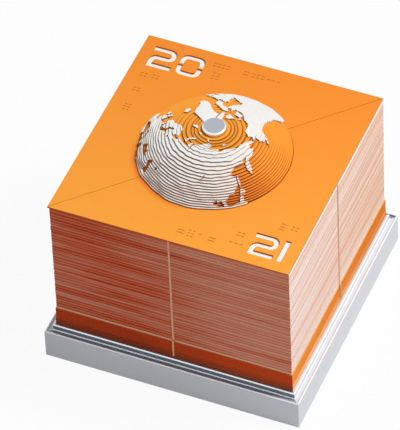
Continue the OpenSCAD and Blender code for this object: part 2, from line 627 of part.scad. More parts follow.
module cover(side_name) {
    color(ORANGE) difference() {
        translate([0, 0, cover_z]) linear_extrude(cover_t) half_square(side_name);
        at_globe() translate([0, 0, cover_z - eps]) cylinder(r = sea_hole_r, h = cover_t + 2 * eps);
        for (span = merged(rim_spans, -360))
            ring_sector(span, sea_hole_r - lap, land_hole_r, cover_z - eps, cover_t + 2 * eps);
    }
}

tray();
deck();
bottom_cover();
cover_screws();
rubber_feet();
spindle();
spindle_nut();
pole_cap();
lower_board();
upper_board();
white_card();
plinth();
for (b = [1:DOME_BANDS]) {
    dome_sea(b);
    dome_land(b);
}
for (z = [0:len(ZONES) - 1]) {
    globe_sea(z);
    globe_land(z);
}
for (s = SIDES) {
    cover(s);
    for (m = [0:len(MONTHS) - 1])
        month_leaves(m, s);
}
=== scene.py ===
# %% [markdown]
# # A tear-off desk calendar with a paper globe inside its leaves
#
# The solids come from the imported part: a silver base, two orange boards, a globe built from
# cut sheets, a cover and twelve months of leaves, each cut in two along the diagonal.
# Here they get their finish. What a solid leaves out, such as the single leaves or the numerals
# cut through the cover, is made in mesh code and rides on the same bodies.

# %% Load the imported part
import math
import random

import bmesh
import bpy
from mathutils import Matrix, Vector


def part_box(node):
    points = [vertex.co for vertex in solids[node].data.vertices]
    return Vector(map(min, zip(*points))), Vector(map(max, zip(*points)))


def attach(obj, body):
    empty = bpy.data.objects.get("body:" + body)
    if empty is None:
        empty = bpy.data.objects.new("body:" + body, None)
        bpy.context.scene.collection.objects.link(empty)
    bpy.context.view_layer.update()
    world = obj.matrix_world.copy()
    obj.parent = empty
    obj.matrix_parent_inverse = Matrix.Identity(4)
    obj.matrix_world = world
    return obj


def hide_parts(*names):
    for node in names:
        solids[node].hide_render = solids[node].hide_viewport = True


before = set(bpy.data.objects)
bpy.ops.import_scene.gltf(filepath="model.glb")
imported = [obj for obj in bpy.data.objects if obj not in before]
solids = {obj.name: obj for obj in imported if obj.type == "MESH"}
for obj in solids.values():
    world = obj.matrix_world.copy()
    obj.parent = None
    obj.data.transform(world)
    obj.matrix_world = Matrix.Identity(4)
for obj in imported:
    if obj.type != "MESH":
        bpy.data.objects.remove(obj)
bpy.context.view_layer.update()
MM = 0.001

# %% [markdown]
# ## The camera
#
# The photograph was taken with a long lens from above the near right corner. A camera could be
# aimed with a Track To constraint, but a tilt about the line of sight is then awkward to add.
# Building the matrix from three axes gives place, aim and tilt at once.

# %% Place the camera
AZIMUTH = math.radians(24.40)
ELEVATION = math.radians(46.83)
TILT = math.radians(-2.684)
CAMERA_FAR = 2035.8 * MM
AIM = Vector((-8.993, 1.767, 40.0)) * MM
# Blender takes the width of the sensor and the length of the lens in millimetres
SENSOR_WIDE = 36
LENS_LONG = 457.5

back = Vector((math.sin(AZIMUTH) * math.cos(ELEVATION),
               -math.cos(AZIMUTH) * math.cos(ELEVATION),
               math.sin(ELEVATION)))
right = Vector((0, 0, 1)).cross(back).normalized()
up = back.cross(right)
tilted_right = right * math.cos(TILT) + up * math.sin(TILT)
tilted_up = up * math.cos(TILT) - right * math.sin(TILT)

camera = bpy.data.objects.new("camera", bpy.data.cameras.new("camera"))
bpy.context.scene.collection.objects.link(camera)
camera.data.sensor_width = SENSOR_WIDE
camera.data.lens = LENS_LONG
turn = Matrix((tilted_right, tilted_up, back)).transposed().to_4x4()
camera.matrix_world = Matrix.Translation(AIM + back * CAMERA_FAR) @ turn
bpy.context.scene.camera = camera
print("camera at", [round(x, 3) for x in camera.matrix_world.translation])

# %% [markdown]
# ## Colours and nodes
#
# Colours are written as they look on a screen, in sRGB, and Blender's sockets want linear values,
# so one function turns the first into the second. Another fills a node's inputs, each with a plain
# value or with a link, and a third adds a node with its settings and its inputs. Every material
# below uses the three.

# %% Helpers for materials
def colour(code):
    channels = [int(code[i:i + 2], 16) / 255 for i in (1, 3, 5)]
    linear = [c / 12.92 if c <= 0.04045 else ((c + 0.055) / 1.055) ** 2.4 for c in channels]
    return (*linear, 1.0)


def fill_inputs(tree, node, values):
    for socket, value in values.items():
        if isinstance(value, bpy.types.NodeSocket):
            tree.links.new(value, node.inputs[socket])
        else:
            node.inputs[socket].default_value = value


def add(tree, kind, inputs=None, **settings):
    node = tree.nodes.new(kind)
    for name, value in settings.items():
        setattr(node, name, value)
    fill_inputs(tree, node, inputs or {})
    return node


print("white card as linear", [round(c, 3) for c in colour("#f5f1ea")])

# %% [markdown]
# ## Light
#
# The photograph has one soft lamp high on the right and behind, so the cover and the right side are
# lit, the left front side lies in shade, and the dome's shadow falls to the lower left. The world
# fills the shade. Only rays that the eye follows, straight or through a reflection, see the world
# as white, so the white background adds nothing to the light on the paper.

# %% One soft lamp
LAMP_TOWARDS = Vector((0.50, 0.22, 0.85)).normalized()
LAMP_FAR = 1.2
LAMP_WIDE = 0.35
# A lamp of this many watts lights paper at LAMP_FAR so that it renders about as its colour is written
LAMP_WATTS = 11.8

lamp_data = bpy.data.lights.new("softbox", "AREA")
lamp_data.size = LAMP_WIDE
lamp_data.energy = LAMP_WATTS
softbox = bpy.data.objects.new("softbox", lamp_data)
bpy.context.scene.collection.objects.link(softbox)
softbox.location = AIM + LAMP_TOWARDS * LAMP_FAR
softbox.rotation_euler = LAMP_TOWARDS.to_track_quat("Z", "Y").to_euler()
print("softbox at", [round(x, 2) for x in softbox.location])

# %% A white world
WORLD_FILL = 0.27
WHITE = colour("#ffffff")


def seen_rays(tree):
    path = add(tree, "ShaderNodeLightPath")
    direct = add(tree, "ShaderNodeMath", {0: path.outputs["Is Camera Ray"],
                                          1: path.outputs["Is Glossy Ray"]}, operation="MAXIMUM")
    every = add(tree, "ShaderNodeMath", {0: direct.outputs[0],
                                         1: path.outputs["Is Transmission Ray"]}, operation="MAXIMUM")
    return every.outputs[0]


world = bpy.data.worlds.new("white_studio")
bpy.context.scene.world = world
world.use_nodes = True
tree = world.node_tree
tree.nodes.clear()
fill = add(tree, "ShaderNodeBackground", {"Color": WHITE, "Strength": WORLD_FILL})
backdrop = add(tree, "ShaderNodeBackground", {"Color": WHITE, "Strength": 1.0})
either = add(tree, "ShaderNodeMixShader", {0: seen_rays(tree), 1: fill.outputs[0], 2: backdrop.outputs[0]})
add(tree, "ShaderNodeOutputWorld", {"Surface": either.outputs[0]})
bpy.context.scene.view_settings.view_transform = "Standard"
print("world fill", WORLD_FILL)

# %% [markdown]
# ## The floor
#
# The calendar stands on white card that fades into the background. The floor is mostly its own
# white to the eye, with a share of real light mixed in, so that a faint shadow is left under the
# base. To the paper it is plain white card that throws light back up.

# %% White floor
FLOOR_HALF = 1.5
FLOOR_OWN_WHITE = 0.94

floor_mesh = bpy.data.meshes.new("floor")
floor_mesh.from_pydata([(-FLOOR_HALF, -FLOOR_HALF, 0), (FLOOR_HALF, -FLOOR_HALF, 0),
                        (FLOOR_HALF, FLOOR_HALF, 0), (-FLOOR_HALF, FLOOR_HALF, 0)], [], [(0, 1, 2, 3)])
floor = bpy.data.objects.new("floor", floor_mesh)
bpy.context.scene.collection.objects.link(floor)

floor_card = bpy.data.materials.new("white_floor_card")
floor_card.use_nodes = True
tree = floor_card.node_tree
tree.nodes.clear()
lit = add(tree, "ShaderNodeBsdfDiffuse", {"Color": colour("#dedede")})
own = add(tree, "ShaderNodeEmission", {"Color": WHITE, "Strength": 1.0})
shown = add(tree, "ShaderNodeMixShader", {0: FLOOR_OWN_WHITE, 1: lit.outputs[0], 2: own.outputs[0]})
either = add(tree, "ShaderNodeMixShader", {0: seen_rays(tree), 1: lit.outputs[0], 2: shown.outputs[0]})
add(tree, "ShaderNodeOutputMaterial", {"Surface": either.outputs[0]})
floor_mesh.materials.append(floor_card)
print("floor", 2 * FLOOR_HALF, "m wide")

# %% [markdown]
# ## Sizes of patterns
#
# Noise and Wave textures take a scale, not a size. A noise of scale s has blots about 1/s wide,
# and bands of a wave repeat every pi/(10 s). Two functions turn a real size in millimetres into
# these scales. Object coordinates are in metres here, for every piece in one frame.

# %% Scales from millimetres, and the start of a material
def blot_scale(size):
    return 1 / (size * MM)


def band_scale(spacing):
    return math.pi / 10 / (spacing * MM)


def start_material(name):
    material = bpy.data.materials.new(name)
    material.use_nodes = True
    tree = material.node_tree
    place = add(tree, "ShaderNodeTexCoord")
    return material, tree, tree.nodes["Principled BSDF"], place


print("0.5 mm blots have scale", blot_scale(0.5), "and 0.5 mm bands", round(band_scale(0.5)))

# %% [markdown]
# ## Silver base
#
# Tray and deck are moulded ABS, sprayed silver. The paint is clear lacquer over flakes of aluminium
# a few hundredths of a millimetre wide. Most of its light is scattered by the flakes, so it is only
# partly metallic. The flakes are drawn 0.3 mm wide, because real ones wouldn't show.
# The chamfers are painted paler, a painted highlight, and hold more flakes, the deck's upper one
# most. A chamfer is the only surface here whose normal leans halfway between level and upright,
# which is how the shader finds it.
# Inside the rim the right and left sides are painted lighter, a painted light, and the front and
# back darker grey, a painted shade. Front and back lie further along y than along x.

# %% Chamfers and sides of the base
# Between these two the upward part of a normal belongs to a chamfer
LEAN_LOW = 0.4
LEAN_HIGH = 0.9
RIM_WIDE = 0.6 * MM
rim_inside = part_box("tray")[1].x - RIM_WIDE

silver_abs, tree, shader, place = start_material("silver_sprayed_abs")
facing = add(tree, "ShaderNodeSeparateXYZ", {0: place.outputs["Normal"]})
leans = add(tree, "ShaderNodeMath", {0: facing.outputs["Z"], 1: LEAN_LOW}, operation="GREATER_THAN")
steep = add(tree, "ShaderNodeMath", {0: facing.outputs["Z"], 1: LEAN_HIGH}, operation="LESS_THAN")
chamfer = add(tree, "ShaderNodeMath", {0: leans.outputs[0], 1: steep.outputs[0]}, operation="MULTIPLY")
spot = add(tree, "ShaderNodeSeparateXYZ", {0: place.outputs["Object"]})
off_x = add(tree, "ShaderNodeMath", {0: spot.outputs["X"]}, operation="ABSOLUTE")
off_y = add(tree, "ShaderNodeMath", {0: spot.outputs["Y"]}, operation="ABSOLUTE")
ahead = add(tree, "ShaderNodeMath", {0: off_y.outputs[0], 1: off_x.outputs[0]}, operation="GREATER_THAN")
furthest = add(tree, "ShaderNodeMath", {0: off_y.outputs[0], 1: off_x.outputs[0]}, operation="MAXIMUM")
inside = add(tree, "ShaderNodeMath", {0: furthest.outputs[0], 1: rim_inside}, operation="LESS_THAN")
print("inside of the rim at", round(rim_inside / MM, 2), "mm")

# %% Tones of the silver spray
FLAKE = 0.3

flakes = add(tree, "ShaderNodeTexNoise", {"Vector": place.outputs["Object"], "Scale": blot_scale(FLAKE)})
tint = add(tree, "ShaderNodeMix", {"Factor": flakes.outputs["Fac"], "A": colour("#cccfd5"),
                                   "B": colour("#dfe2e8")}, data_type="RGBA")
# Inside the rim: painted light on right and left, painted shade on front and back
inside_painted_light_shade = add(tree, "ShaderNodeMix", {"Factor": ahead.outputs[0], "A": colour("#dde0e6"),
                                      "B": colour("#959fae")}, data_type="RGBA")
coat = add(tree, "ShaderNodeMix", {"Factor": inside.outputs[0], "A": tint.outputs["Result"],
                                   "B": inside_painted_light_shade.outputs["Result"]}, data_type="RGBA")
# The paler colour of the chamfers is a painted highlight
paint = add(tree, "ShaderNodeMix", {"Factor": chamfer.outputs[0], "A": coat.outputs["Result"],
                                    "B": colour("#f4f5f7")}, data_type="RGBA")
print("flakes", FLAKE, "mm wide")

# %% Flakes and skin of the silver spray
# Lacquer that was sprayed dries with a faint skin like orange peel, and shines a little unevenly
FLAT_METAL = 0.25
LOW_CHAMFER_METAL = 0.40
DECK_CHAMFER_METAL = 0.90
SPRAY_ROUGH = (0.34, 0.50)
PEEL = 2.5
PEEL_STRENGTH = 0.15
PEEL_DEEP = 0.05 * MM
deck_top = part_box("deck")[1].z
deck_middle = (deck_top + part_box("tray")[1].z) / 2

flakier = add(tree, "ShaderNodeMapRange", {"Value": spot.outputs["Z"], "From Min": deck_middle,
                                           "From Max": deck_top, "To Min": LOW_CHAMFER_METAL,
                                           "To Max": DECK_CHAMFER_METAL})
metal = add(tree, "ShaderNodeMix", {"Factor": chamfer.outputs[0], "A": FLAT_METAL, "B": flakier.outputs[0]})
sheen = add(tree, "ShaderNodeMapRange", {"Value": flakes.outputs["Fac"], "To Min": SPRAY_ROUGH[0],
                                         "To Max": SPRAY_ROUGH[1]})
peel = add(tree, "ShaderNodeTexNoise", {"Vector": place.outputs["Object"], "Scale": blot_scale(PEEL)})
relief = add(tree, "ShaderNodeBump", {"Height": peel.outputs["Fac"], "Strength": PEEL_STRENGTH,
                                      "Distance": PEEL_DEEP})
fill_inputs(tree, shader, {"Base Color": paint.outputs["Result"], "Metallic": metal.outputs["Result"],
                           "Roughness": sheen.outputs[0], "Normal": relief.outputs[0]})
print("made", silver_abs.name)

# %% [markdown]
# ## Parts underneath
#
# The bottom cover is dark ABS with the fine spark texture of its mould, the feet are black rubber,
# and the screws, spindle and nut are zinc-plated steel. Bottom cover and feet have a grain that
# both mottles the colour and roughens the surface, so one function makes the two. Zinc differs from
# crystal to crystal in its roughness more than in its colour, so the roughness carries its pattern.

# %% Dark ABS and rubber
def grained(name, tones, grain, strength, deep, rough):
    material, tree, shader, place = start_material(name)
    grains = add(tree, "ShaderNodeTexNoise", {"Vector": place.outputs["Object"], "Scale": blot_scale(grain)})
    tint = add(tree, "ShaderNodeMix", {"Factor": grains.outputs["Fac"], "A": colour(tones[0]),
                                       "B": colour(tones[1])}, data_type="RGBA")
    relief = add(tree, "ShaderNodeBump", {"Height": grains.outputs["Fac"], "Strength": strength,
                                          "Distance": deep * MM})
    fill_inputs(tree, shader, {"Base Color": tint.outputs["Result"], "Roughness": rough,
                               "Normal": relief.outputs[0]})
    return material


# The spark texture scatters the light, so this ABS looks evenly dark, and rubber hardly shines at all
dark_abs = grained("dark_moulded_abs", ("#2b2c2f", "#3a3b3f"), grain=0.4, strength=0.5, deep=0.05, rough=0.6)
rubber = grained("black_rubber", ("#1d1d1f", "#2c2c2e"), grain=0.6, strength=0.4, deep=0.06, rough=0.85)
print("made", dark_abs.name, rubber.name)

# %% Zinc-plated steel
ZINC_CRYSTAL = 0.5
ZINC_ROUGH = (0.22, 0.4)

zinc_steel, tree, shader, place = start_material("zinc_plated_steel")
crystal = add(tree, "ShaderNodeTexVoronoi", {"Vector": place.outputs["Object"],
                                             "Scale": blot_scale(ZINC_CRYSTAL)})
gloss = add(tree, "ShaderNodeMapRange", {"Value": crystal.outputs["Distance"], "To Min": ZINC_ROUGH[0],
                                         "To Max": ZINC_ROUGH[1]})
fill_inputs(tree, shader, {"Base Color": colour("#c3c7cb"), "Metallic": 1.0, "Roughness": gloss.outputs[0]})
print("made", zinc_steel.name)

# %% [markdown]
# ## Pole cap
#
# The cap on the pole is turned aluminium with a satin face and a polished bevel, whose brighter
# colour is a painted highlight. The tool left fine rings about the middle of the cap. A wave texture
# draws such rings about an axis, so the coordinates are first moved to the cap's middle.

# %% Turned aluminium
TOOL_FEED = 0.25
GROOVE_STRENGTH = 0.1
GROOVE_DEEP = 0.02 * MM
SATIN_ROUGH = (0.28, 0.36)
cap_low, cap_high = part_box("pole_cap")
GLOBE_AT = (cap_low + cap_high) / 2

turned_aluminium, tree, shader, place = start_material("turned_aluminium")
middle = add(tree, "ShaderNodeVectorMath", {0: place.outputs["Object"], 1: GLOBE_AT}, operation="SUBTRACT")
rings = add(tree, "ShaderNodeTexWave", {"Vector": middle.outputs[0], "Scale": band_scale(TOOL_FEED)},
            wave_type="RINGS", rings_direction="Z")
relief = add(tree, "ShaderNodeBump", {"Height": rings.outputs["Fac"], "Strength": GROOVE_STRENGTH,
                                      "Distance": GROOVE_DEEP})
gloss = add(tree, "ShaderNodeMapRange", {"Value": rings.outputs["Fac"], "To Min": SATIN_ROUGH[0],
                                         "To Max": SATIN_ROUGH[1]})
facing = add(tree, "ShaderNodeSeparateXYZ", {0: place.outputs["Normal"]})
bevel = add(tree, "ShaderNodeMath", {0: facing.outputs["Z"], 1: LEAN_HIGH}, operation="LESS_THAN")
metal = add(tree, "ShaderNodeMix", {"Factor": bevel.outputs[0], "A": colour("#aeb3bc"),
                                    "B": colour("#e8eaee")}, data_type="RGBA")
fill_inputs(tree, shader, {"Base Color": metal.outputs["Result"], "Metallic": 1.0,
                           "Roughness": gloss.outputs[0], "Normal": relief.outputs[0]})
print("made", turned_aluminium.name)

# %% [markdown]
# ## Cut paper
#
# All the paper here was cut by laser. A cut edge is scorched darker than the face of the sheet, and
# a stack of cut sheets shows fine strata. Edges that face front or back get other colours than those
# that face right or left, as painted light and shade: on most papers they are browner, a painted
# shade, and on the backing card a paler peach, a painted highlight. All this follows from the
# surface's direction: an edge has a level normal, and the y part of the normal says how much it
# faces front or back. The normal is taken in object space, so the pattern belongs to the piece.
# On the orange sheets of the globe the edges that face left are painted brown too, a painted shade.
# The cover is painted a deeper orange at the back than at the front, a painted gradient of light.
# One function makes each paper, from pairs of colours for its face and its two kinds of edge.

# %% Fibres of a paper, and its face and edges put together
FIBRE = 0.7
FIBRE_DETAIL = 4.0
# A surface is an edge where the upright part of its normal is smaller than this
EDGE_TURN = 0.5
TOOTH_STRENGTH = 0.12
TOOTH_DEEP = 0.05 * MM


def fibres(tree, place):
    return add(tree, "ShaderNodeTexNoise", {"Vector": place.outputs["Object"], "Scale": blot_scale(FIBRE),
                                            "Detail": FIBRE_DETAIL})


def finish_paper(tree, shader, place, fibre, face, edges, rough, gloss):
    facing = add(tree, "ShaderNodeSeparateXYZ", {0: place.outputs["Normal"]})
    upright = add(tree, "ShaderNodeMath", {0: facing.outputs["Z"]}, operation="ABSOLUTE")
    is_edge = add(tree, "ShaderNodeMath", {0: upright.outputs[0], 1: EDGE_TURN}, operation="LESS_THAN")
    paper = add(tree, "ShaderNodeMix", {"Factor": is_edge.outputs[0], "A": face, "B": edges},
                data_type="RGBA")
    tooth = add(tree, "ShaderNodeBump", {"Height": fibre.outputs["Fac"], "Strength": TOOTH_STRENGTH,
                                         "Distance": TOOTH_DEEP})
    fill_inputs(tree, shader, {"Base Color": paper.outputs["Result"], "Roughness": rough,
                               "Specular IOR Level": gloss, "Normal": tooth.outputs[0]})


print("fibres", FIBRE, "mm wide")

# %% How much painted light and shade an edge has, and the painted gradient of light on a face
BROWN_FROM = 0.25
BROWN_FULL = 0.9
# Share of the fibres in the tone of a face with the painted gradient of light
FIBRE_SHARE = 0.3
cover_back_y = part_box("cover_back")[1].y
cover_front_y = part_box("cover_front")[0].y


# Share of an edge's front-and-back colour, its painted light and shade, from how the edge faces
def light_shade_share(tree, place, left_painted_shade):
    facing = add(tree, "ShaderNodeSeparateXYZ", {0: place.outputs["Normal"]})
    painted_side_facing = add(tree, "ShaderNodeMath", {0: facing.outputs["Y"]}, operation="ABSOLUTE")
    if left_painted_shade:
        leftward = add(tree, "ShaderNodeMath", {0: facing.outputs["X"], 1: -1.0}, operation="MULTIPLY")
        painted_side_facing = add(tree, "ShaderNodeMath", {0: painted_side_facing.outputs[0], 1: leftward.outputs[0]},
                      operation="MAXIMUM")
    return add(tree, "ShaderNodeMapRange", {"Value": painted_side_facing.outputs[0], "From Min": BROWN_FROM,
                                            "From Max": BROWN_FULL})


# Painted gradient of light: the face is painted lighter towards the front and deeper at the back
def painted_light_gradient(tree, place, fibre):
    spot = add(tree, "ShaderNodeSeparateXYZ", {0: place.outputs["Object"]})
    front_light = add(tree, "ShaderNodeMapRange", {"Value": spot.outputs["Y"], "From Min": cover_back_y,
                                            "From Max": cover_front_y, "To Min": -FIBRE_SHARE / 2,
                                            "To Max": 1 - FIBRE_SHARE / 2})
    return add(tree, "ShaderNodeMath", {0: fibre.outputs["Fac"], 1: FIBRE_SHARE, 2: front_light.outputs[0]},
               operation="MULTIPLY_ADD", use_clamp=True)


print("cover", round((cover_back_y - cover_front_y) / MM, 2), "mm from back to front")

# %% Paper with scorched edges
SHEET = 0.21
STRATA_WAVER = 0.6
PAPER_GLOSS = 0.25


def cut_paper(name, face, quick_edge, slow_edge, rough=0.8, left_painted_shade=False, light_gradient=False, painted_shades=()):
    material, tree, shader, place = start_material(name)
    fibre = fibres(tree, place)
    shade = painted_light_gradient(tree, place, fibre) if light_gradient else fibre
    flat = add(tree, "ShaderNodeMix", {"Factor": shade.outputs[0], "A": colour(face[0]),
                                       "B": colour(face[1])}, data_type="RGBA")
    # Each mark in this list is painted shade
    for stain, tone in painted_shades:
        flat = add(tree, "ShaderNodeMix", {"Factor": stain(tree, place).outputs[0],
                                           "A": flat.outputs["Result"], "B": colour(tone)}, data_type="RGBA")
    bands = add(tree, "ShaderNodeTexWave", {"Vector": place.outputs["Object"], "Scale": band_scale(SHEET),
                                            "Distortion": STRATA_WAVER},
                wave_type="BANDS", bands_direction="Z")
    quick_light_shade = add(tree, "ShaderNodeMix", {"Factor": bands.outputs["Fac"], "A": colour(quick_edge[1]),
                                            "B": colour(quick_edge[0])}, data_type="RGBA")
    slow_light_shade = add(tree, "ShaderNodeMix", {"Factor": bands.outputs["Fac"], "A": colour(slow_edge[1]),
                                             "B": colour(slow_edge[0])}, data_type="RGBA")
    # Front and back edges, and left ones where asked, take the slow colours: painted light and shade
    slow = light_shade_share(tree, place, left_painted_shade)
    sides = add(tree, "ShaderNodeMix", {"Factor": slow.outputs[0], "A": quick_light_shade.outputs["Result"],
                                        "B": slow_light_shade.outputs["Result"]}, data_type="RGBA")
    finish_paper(tree, shader, place, fibre, flat.outputs["Result"], sides.outputs["Result"],
                 rough, PAPER_GLOSS)
    return material


print("strata", SHEET, "mm apart")

# %% [markdown]
# ## Painted shade beside the globe
#
# Round the pole, each tread is painted darker at the foot of the step above it, a painted shade. That
# foot follows the globe's own surface, so a tread's painted shade depends on how far a point lies
# outside the ellipse that is the globe's outline. The same distance serves for the cover: beside the
# globe's front left it is painted red, a painted shadow of the globe. The globe's orange sheets are
# painted red too, a painted shade towards the front and away from the pole. Vertex colours could hold
# such marks, but the solids' meshes stay as packed, so the shader works them out from the place of
# each point.

# %% Place of a point beside the globe
GLOBE_R = 35.0 * MM
GLOBE_V = 29.45 * MM
POLE_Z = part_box("dome_sea_1")[1].z
EQUATOR_Z = POLE_Z - GLOBE_V


def from_axis(tree, place):
    off_pole = add(tree, "ShaderNodeVectorMath", {0: place.outputs["Object"], 1: GLOBE_AT},
                   operation="SUBTRACT")
    return add(tree, "ShaderNodeVectorMath", {0: off_pole.outputs[0], 1: (1, 1, 0)}, operation="MULTIPLY")


def axis_distance(tree, place):
    return add(tree, "ShaderNodeVectorMath", {0: from_axis(tree, place).outputs[0]}, operation="LENGTH")


def outside_globe(tree, place):
    spot = add(tree, "ShaderNodeSeparateXYZ", {0: place.outputs["Object"]})
    height = add(tree, "ShaderNodeMath", {0: spot.outputs["Z"], 1: 1 / GLOBE_V, 2: -EQUATOR_Z / GLOBE_V},
                 operation="MULTIPLY_ADD")
    square = add(tree, "ShaderNodeMath", {0: height.outputs[0], 1: 2.0}, operation="POWER")
    rest = add(tree, "ShaderNodeMath", {0: 1.0, 1: square.outputs[0]}, operation="SUBTRACT")
    share = add(tree, "ShaderNodeMath", {0: rest.outputs[0]}, operation="SQRT")
    radius = axis_distance(tree, place)
    return add(tree, "ShaderNodeMath", {0: share.outputs[0], 1: -GLOBE_R, 2: radius.outputs["Value"]},
               operation="MULTIPLY_ADD")


def turned_share(tree, place, degrees, none, full):
    towards = (math.cos(math.radians(degrees)), math.sin(math.radians(degrees)), 0)
    way = add(tree, "ShaderNodeVectorMath", {0: from_axis(tree, place).outputs[0]}, operation="NORMALIZE")
    along = add(tree, "ShaderNodeVectorMath", {0: way.outputs[0], 1: towards}, operation="DOT_PRODUCT")
    return add(tree, "ShaderNodeMapRange", {"Value": along.outputs["Value"], "From Min": none,
                                            "From Max": full})


print("equator at", round(EQUATOR_Z / MM, 2), "mm, pole at", round(POLE_Z / MM, 2), "mm")

# %% Painted shade at the foot of the treads, and painted red shade on the paper
FOOT_WIDE = 0.9 * MM
FOOT_MOST = 0.85
POLE_NEAR = 13 * MM
POLE_FAR = 21 * MM
RED_FROM = 0.6 * MM
RED_TO = 3.8 * MM
SEA_RED_FROM = 14 * MM
SEA_RED_TO = 23 * MM
RED_MOST = 0.55
# Direction from the pole in degrees, and the cosines of the turn from it where the red ends and is full
COVER_RED = (232, 0.75, 0.97)
SEA_RED = (265, 0.15, 0.90)


# Painted shade at the foot of each step near the pole
def painted_foot_shade(tree, place):
    at_foot = add(tree, "ShaderNodeMapRange", {"Value": outside_globe(tree, place).outputs[0],
                                               "From Max": FOOT_WIDE, "To Min": FOOT_MOST, "To Max": 0.0})
    at_pole = add(tree, "ShaderNodeMapRange", {"Value": axis_distance(tree, place).outputs["Value"],
                                               "From Min": POLE_NEAR, "From Max": POLE_FAR,
                                               "To Min": 1.0, "To Max": 0.0})
    return add(tree, "ShaderNodeMath", {0: at_foot.outputs[0], 1: at_pole.outputs[0]}, operation="MULTIPLY")


# Painted red shadow of the globe on the cover, at its front left
def painted_cover_shadow(tree, place):
    beside = add(tree, "ShaderNodeMapRange", {"Value": outside_globe(tree, place).outputs[0],
                                              "From Min": RED_FROM, "From Max": RED_TO,
                                              "To Min": RED_MOST, "To Max": 0.0},
                 interpolation_type="SMOOTHSTEP")
    turned = turned_share(tree, place, *COVER_RED)
    return add(tree, "ShaderNodeMath", {0: beside.outputs[0], 1: turned.outputs[0]}, operation="MULTIPLY")


# Painted red shade on the globe's orange sheets, towards the front and away from the pole
def painted_sea_shade(tree, place):
    off_pole = add(tree, "ShaderNodeMapRange", {"Value": axis_distance(tree, place).outputs["Value"],
                                                "From Min": SEA_RED_FROM, "From Max": SEA_RED_TO,
                                                "To Max": RED_MOST})
    turned = turned_share(tree, place, *SEA_RED)
    return add(tree, "ShaderNodeMath", {0: off_pole.outputs[0], 1: turned.outputs[0]}, operation="MULTIPLY")


print("smoke reaches", FOOT_WIDE / MM, "mm from a step's foot")

# %% Papers of the globe, and the backing card
# Matt paper without a coating shows soft fibres on its face, and brown lines where a stack was cut
# Painted shade colours: brown at the steps' feet and on the sea's shaded edges, red beside the globe
PAINTED_SHADE_BROWN = "#641c08"
PAINTED_SHADE_RED = "#da2307"
# Front, back and (on the orange sheets) left edges are painted browner, a painted shade; on the backing card
# paler peach, a painted highlight
sea_paper = cut_paper("dyed_orange_paper", ("#f99c2e", "#fca639"), ("#cf6a24", "#a84a18"),
                      (PAINTED_SHADE_BROWN, "#3c0e04"), left_painted_shade=True,
                      painted_shades=[(painted_sea_shade, PAINTED_SHADE_RED), (painted_foot_shade, PAINTED_SHADE_BROWN)])
land_paper = cut_paper("white_uncoated_paper", ("#ededea", "#f2f2ef"), ("#f0cfb2", "#cf9c7a"),
                       ("#cc9674", "#8a5838"))
backing_card = cut_paper("white_backing_card", ("#f3ece0", "#f8f2e8"), ("#f3e6d2", "#dcc7ad"),
                         ("#ffdcc2", "#ffcfae"))
print("made", sea_paper.name, land_paper.name, backing_card.name)

# %% [markdown]
# ## Board and leaf edges
#
# The boards and the edges of the leaves are painted darker and redder on front and back, too, a
# painted shade, and paler on the other two sides, a painted light. Smoke browned the edges more the
# further they lie from the near right corner, and in long streaks, because it crept along between the
# sheets. So the scorch grows with the distance from that corner, and a noise that is stretched along
# the sheets adds the streaks. On front and back the smoke sank a little, and it thinned again towards
# the far end.

# %% Smoke that crept along the sheets
SMOKE_LEAST = 0.08
SMOKE_MOST = 0.90
STREAK_SHARE = 2.4
STREAK_DETAIL = 3.0
END_DROP = 0.35


def smoke_stain(tree, place, lean, reach, streak, end=None):
    away = add(tree, "ShaderNodeVectorMath", {0: place.outputs["Object"], 1: lean}, operation="DOT_PRODUCT")
    smoke = add(tree, "ShaderNodeMapRange", {"Value": away.outputs["Value"], "From Min": reach[0],
                                             "From Max": reach[1], "To Min": SMOKE_LEAST - STREAK_SHARE / 2,
                                             "To Max": SMOKE_MOST - STREAK_SHARE / 2})
    long_side, tall = blot_scale(streak[0]), blot_scale(streak[1])
    stretch = add(tree, "ShaderNodeMapping", {"Vector": place.outputs["Object"],
                                              "Scale": (long_side, long_side, tall)})
    streaks = add(tree, "ShaderNodeTexNoise", {"Vector": stretch.outputs[0], "Scale": 1.0,
                                               "Detail": STREAK_DETAIL})
    stain = add(tree, "ShaderNodeMath", {0: streaks.outputs["Fac"], 1: STREAK_SHARE, 2: smoke.outputs[0]},
                operation="MULTIPLY_ADD")
    if end:
        thinner = add(tree, "ShaderNodeMapRange", {"Value": away.outputs["Value"], "From Min": end[0],
                                                   "From Max": end[1], "To Max": END_DROP})
        stain = add(tree, "ShaderNodeMath", {0: stain.outputs[0], 1: thinner.outputs[0]},
                    operation="SUBTRACT")
    return stain


print("smoke from", SMOKE_LEAST, "to", SMOKE_MOST)

# %% Paper whose front and back edges are painted apart from the others, as painted light and shade
SIDE_TURN = 0.7
# Which way the smoke grew, and between which distances along it, for each pair of sides
QUICK_LEAN = (-1, 1, 0)
QUICK_REACH = (-94 * MM, -5 * MM)
SLOW_LEAN = (-1, 1, -0.2)
SLOW_REACH = (-84 * MM, -36 * MM)
SLOW_END = (-30 * MM, -8 * MM)


